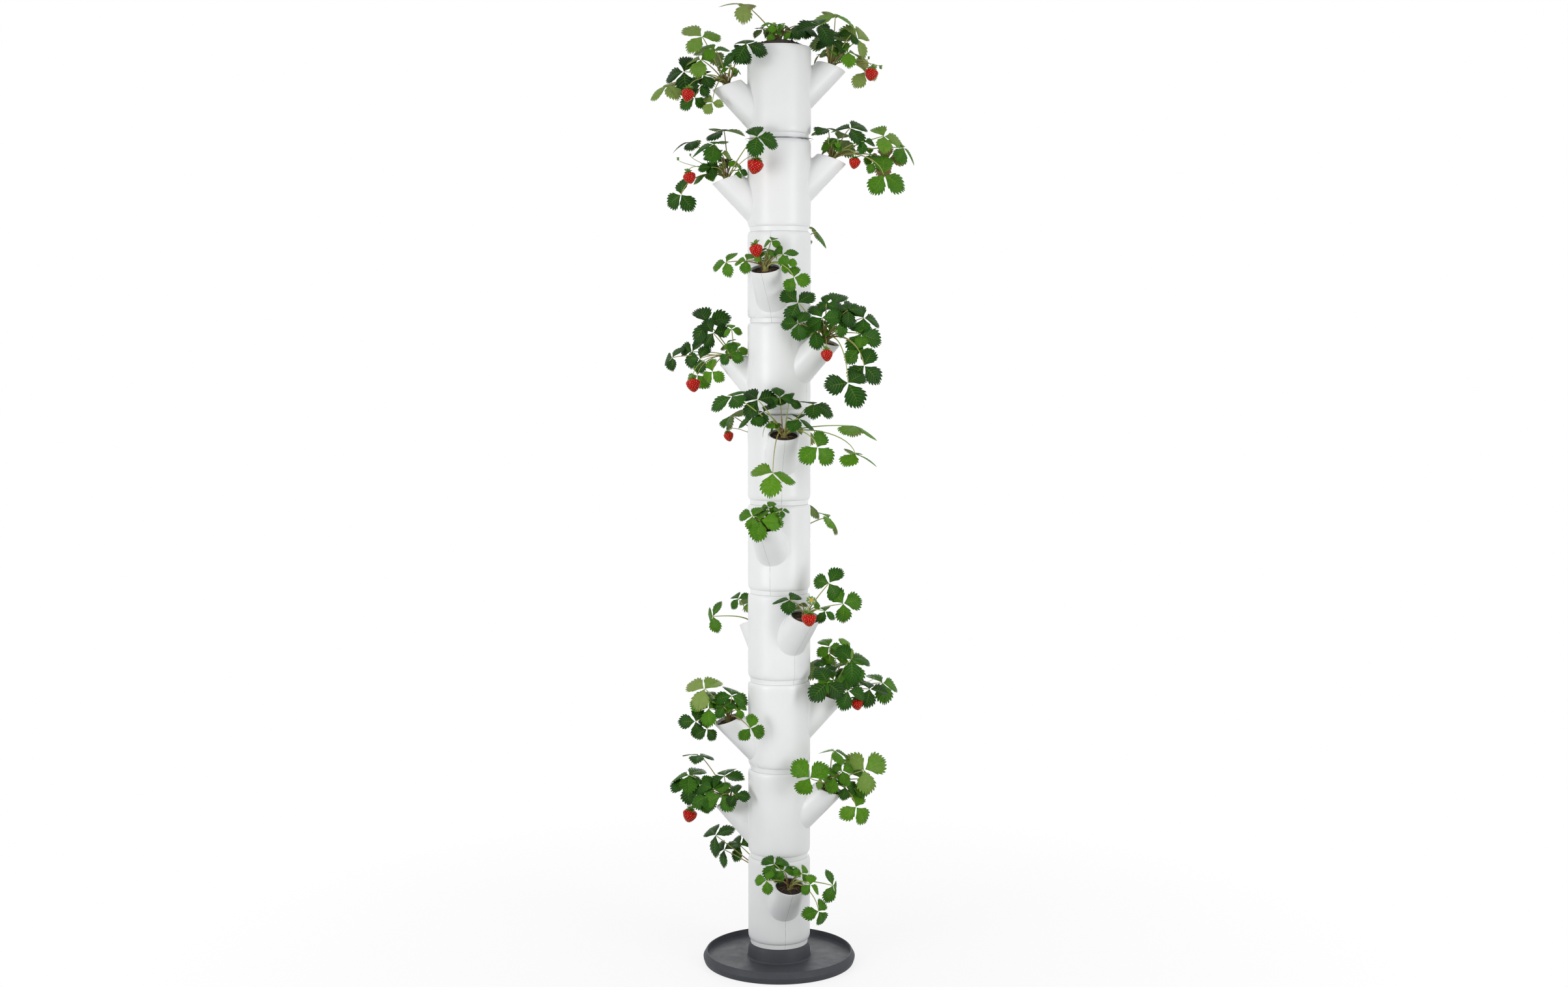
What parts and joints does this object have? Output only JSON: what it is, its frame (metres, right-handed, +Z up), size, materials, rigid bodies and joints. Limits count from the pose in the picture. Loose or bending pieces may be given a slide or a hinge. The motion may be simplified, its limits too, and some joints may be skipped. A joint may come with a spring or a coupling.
{
  "type": "vertical planter tower",
  "caption": "Tall free-standing planter of stacked hollow white tiers, each with a high and a low planting spout, on a round saucer, filled with soil and planted with strawberries.",
  "frame": {"origin": "on the ground, at the middle of the saucer's foot", "axes": "+Z up along the tower's axis, and the front faces -Y"},
  "size_m": [0.5913, 0.45, 2.1406],
  "materials": {
    "tier_plastic": "satin white blow-moulded plastic",
    "saucer_plastic": "satin anthracite moulded plastic",
    "ring_steel": "bright rolled sheet",
    "soil": "moist dark compost with fine roots",
    "leaf": "veined green leaf with a soft sheen",
    "berry": "glossy red fruit with pale seeds",
    "petal": "soft white petal"
  },
  "bodies": {
    "base": {"saucer_base": "saucer_plastic"},
    "tier_01": {"tier_01_shell": "tier_plastic", "tier_01_soil": "soil", "tier_01_plant_high": "leaf", "tier_01_plant_low": "leaf"},
    "tier_02": {"tier_02_shell": "tier_plastic", "tier_02_soil": "soil", "tier_02_plant_high": "leaf", "tier_02_plant_low": "leaf"},
    "tier_03": {"tier_03_shell": "tier_plastic", "tier_03_soil": "soil", "tier_03_plant_high": "leaf", "tier_03_plant_low": "leaf"},
    "tier_04": {"tier_04_shell": "tier_plastic", "tier_04_soil": "soil", "tier_04_plant_high": "leaf", "tier_04_plant_low": "leaf"},
    "tier_05": {"tier_05_shell": "tier_plastic", "tier_05_soil": "soil", "tier_05_plant_high": "leaf", "tier_05_plant_low": "leaf"},
    "tier_06": {"tier_06_shell": "tier_plastic", "tier_06_soil": "soil", "tier_06_plant_high": "leaf", "tier_06_plant_low": "leaf", "tier_06_stabiliser_ring": "ring_steel"},
    "tier_07": {"tier_07_shell": "tier_plastic", "tier_07_soil": "soil", "tier_07_plant_high": "leaf", "tier_07_plant_low": "leaf"},
    "tier_08": {"tier_08_shell": "tier_plastic", "tier_08_soil": "soil", "tier_08_plant_high": "leaf", "tier_08_plant_low": "leaf"},
    "tier_09": {"tier_09_shell": "tier_plastic", "tier_09_soil": "soil", "tier_09_plant_high": "leaf", "tier_09_plant_low": "leaf", "tier_09_stabiliser_ring": "ring_steel"},
    "tier_10": {"tier_10_shell": "tier_plastic", "tier_10_soil": "soil", "tier_10_plant_high": "leaf", "tier_10_plant_low": "leaf", "top_plant": "leaf"}
  },
  "joints": [
    {"name": "tier_01_turn", "type": "hinge", "parent": "base", "child": "tier_01", "pos_m": [0, 0, 0.0445], "axis": [0, 0, 1], "continuous": true},
    {"name": "tier_02_turn", "type": "hinge", "parent": "tier_01", "child": "tier_02", "pos_m": [0, 0, 0.2445], "axis": [0, 0, 1], "continuous": true},
    {"name": "tier_03_turn", "type": "hinge", "parent": "tier_02", "child": "tier_03", "pos_m": [0, 0, 0.4445], "axis": [0, 0, 1], "continuous": true},
    {"name": "tier_04_turn", "type": "hinge", "parent": "tier_03", "child": "tier_04", "pos_m": [0, 0, 0.6445], "axis": [0, 0, 1], "continuous": true},
    {"name": "tier_05_turn", "type": "hinge", "parent": "tier_04", "child": "tier_05", "pos_m": [0, 0, 0.8445], "axis": [0, 0, 1], "continuous": true},
    {"name": "tier_06_turn", "type": "hinge", "parent": "tier_05", "child": "tier_06", "pos_m": [0, 0, 1.0445], "axis": [0, 0, 1], "continuous": true},
    {"name": "tier_07_turn", "type": "hinge", "parent": "tier_06", "child": "tier_07", "pos_m": [0, 0, 1.2464], "axis": [0, 0, 1], "continuous": true},
    {"name": "tier_08_turn", "type": "hinge", "parent": "tier_07", "child": "tier_08", "pos_m": [0, 0, 1.4464], "axis": [0, 0, 1], "continuous": true},
    {"name": "tier_09_turn", "type": "hinge", "parent": "tier_08", "child": "tier_09", "pos_m": [0, 0, 1.6464], "axis": [0, 0, 1], "continuous": true},
    {"name": "tier_10_turn", "type": "hinge", "parent": "tier_09", "child": "tier_10", "pos_m": [0, 0, 1.8483], "axis": [0, 0, 1], "continuous": true}
  ]
}
